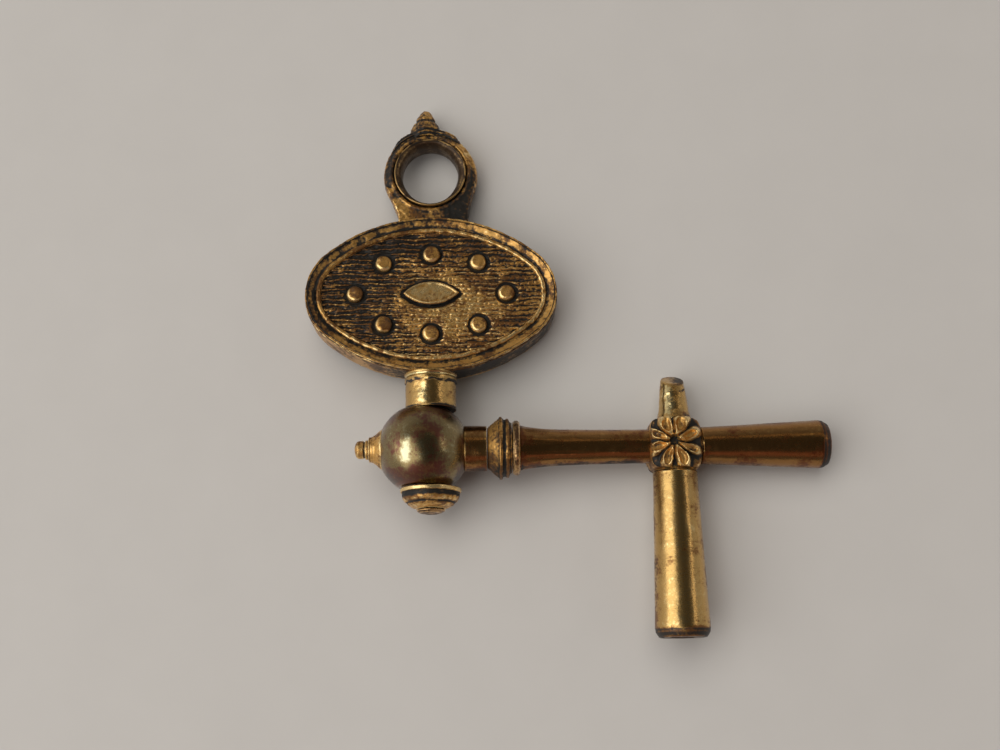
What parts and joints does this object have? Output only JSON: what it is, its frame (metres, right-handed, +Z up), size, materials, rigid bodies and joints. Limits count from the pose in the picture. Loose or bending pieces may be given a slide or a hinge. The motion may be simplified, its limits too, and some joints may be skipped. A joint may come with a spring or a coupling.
{
  "type": "clock key",
  "caption": "Crank winding key: a looped oval medallion handle swivels on a ball, and a turned arm carries a cross hub with square-socketed winding and setting barrels.",
  "frame": {"origin": "middle of the bounding box in plan, on the surface that the key lies on", "axes": "+X along the crank arm from the ball to the hub, +Y along the swivel pin from the ball to the bow, +Z up from the surface"},
  "size_m": [0.0412, 0.044, 0.0073],
  "materials": {
    "gilt_brass": "worn gilding with dark patina in the recesses",
    "polished_brass": "hand-worn gilding, polished",
    "worn_brass": "dull brass with brown patina",
    "socket_steel": "drilled and squared steel, browned"
  },
  "bodies": {
    "handle": {"case_band": "gilt_brass", "front_plate": "gilt_brass", "back_plate": "gilt_brass", "front_bezel": "gilt_brass", "back_bezel": "gilt_brass", "front_studs": "gilt_brass", "back_studs": "gilt_brass", "front_lozenge": "gilt_brass", "back_lozenge": "gilt_brass", "bow_ring": "gilt_brass", "bow_eyelet": "gilt_brass", "bow_finial": "gilt_brass", "neck_drum": "gilt_brass", "swivel_pin": "worn_brass", "end_cap": "gilt_brass"},
    "crank": {"ball": "polished_brass", "ball_knob": "gilt_brass", "arm_neck": "polished_brass", "arm_flange": "gilt_brass", "arm_ring": "worn_brass", "crank_arm": "polished_brass", "hub": "gilt_brass", "front_rosette": "gilt_brass", "back_rosette": "gilt_brass", "hub_stub": "gilt_brass", "winding_barrel": "polished_brass", "winding_socket": "socket_steel", "setting_barrel": "polished_brass", "setting_socket": "socket_steel"}
  },
  "joints": [
    {"name": "crank_swivel", "type": "hinge", "parent": "handle", "child": "crank", "pos_m": [-0.01059, -0.00719, 0.00365], "axis": [0, -1, 0], "continuous": true}
  ]
}
